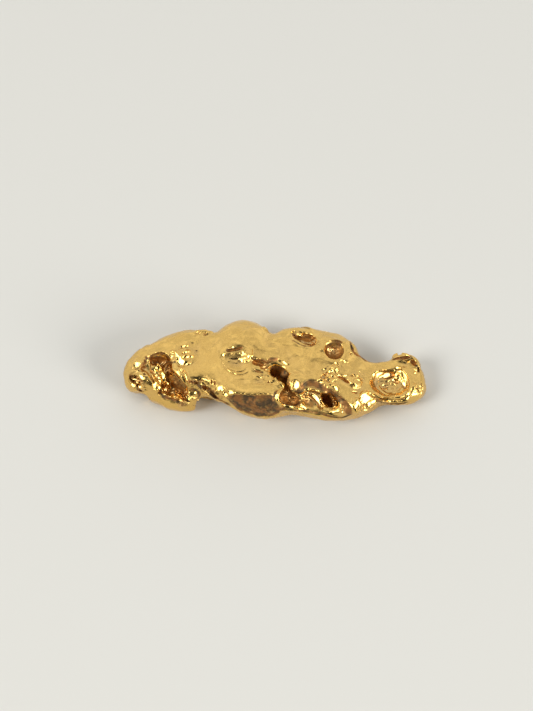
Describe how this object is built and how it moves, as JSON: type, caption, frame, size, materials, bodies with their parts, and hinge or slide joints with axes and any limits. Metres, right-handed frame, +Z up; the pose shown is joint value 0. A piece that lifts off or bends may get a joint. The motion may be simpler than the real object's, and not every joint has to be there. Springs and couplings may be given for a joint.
{
  "type": "gold nugget",
  "caption": "Waterworn nugget of native gold: a flat, knobbly slug with open hollows and pits on its top and front, a curled tail lip and a worn flat underside.",
  "frame": {"origin": "middle of the nugget's box at its base, on the surface it rests on", "axes": "+X along the length from the head to the tail, +Z up from the worn foot, -Y towards the side with the open hollows"},
  "size_m": [0.019, 0.0066, 0.0036],
  "materials": {
    "gold": null
  },
  "bodies": {
    "root": {"nugget": "gold"}
  },
  "joints": []
}
